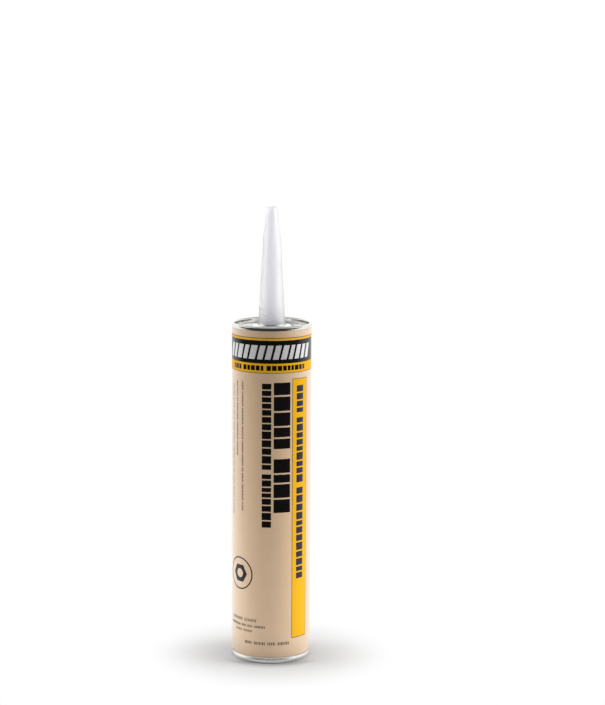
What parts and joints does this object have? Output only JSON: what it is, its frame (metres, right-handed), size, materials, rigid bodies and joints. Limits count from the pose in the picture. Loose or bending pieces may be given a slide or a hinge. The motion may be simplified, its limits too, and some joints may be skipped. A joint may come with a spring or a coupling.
{
  "type": "construction adhesive cartridge",
  "caption": "Round board cartridge with a printed wrap, a seamed tinplate end holding a long tapered nozzle, an open rear with a rolled ring, and a plunger that slides up the bore.",
  "frame": {"origin": "centre of the rear ring's standing edge, on the tube's axis", "axes": "+Z along the tube's axis towards the nozzle's tip; the front of the print faces -Y"},
  "size_m": [0.0512, 0.0512, 0.2889],
  "materials": {
    "wound_board": "bare grey-brown spiral-wound board",
    "liner_foil": "satin foil laminate",
    "wrap_paper": "varnished tan paper, satin",
    "tinplate": "bright tinplate",
    "compound": "matt grey sealing compound",
    "nozzle_plastic": "milky natural polyethylene, satin",
    "seal_foil": "bright foil",
    "plunger_plastic": "natural polyethylene, satin",
    "adhesive_paste": "tan paste, damp and smooth",
    "ink_black": "black ink, satin",
    "ink_yellow": "yellow ink, satin",
    "ink_dark": "dark outline ink, satin"
  },
  "bodies": {
    "cartridge": {"board_tube": "wound_board", "foil_liner": "liner_foil", "paper_wrap": "wrap_paper", "front_end": "tinplate", "seam_compound": "compound", "rear_ring": "tinplate", "nozzle": "nozzle_plastic", "foil_seal": "seal_foil", "adhesive": "adhesive_paste", "black_band": "ink_black", "yellow_band": "ink_yellow", "yellow_rule": "ink_yellow", "yellow_stripe": "ink_yellow", "dark_outlines": "ink_dark"},
    "plunger": {"plunger": "plunger_plastic"}
  },
  "joints": [
    {"name": "plunger_slide", "type": "slide", "parent": "cartridge", "child": "plunger", "axis": [0, 0, 1], "range_m": [0, 0.165], "deforming": ["adhesive"]}
  ]
}
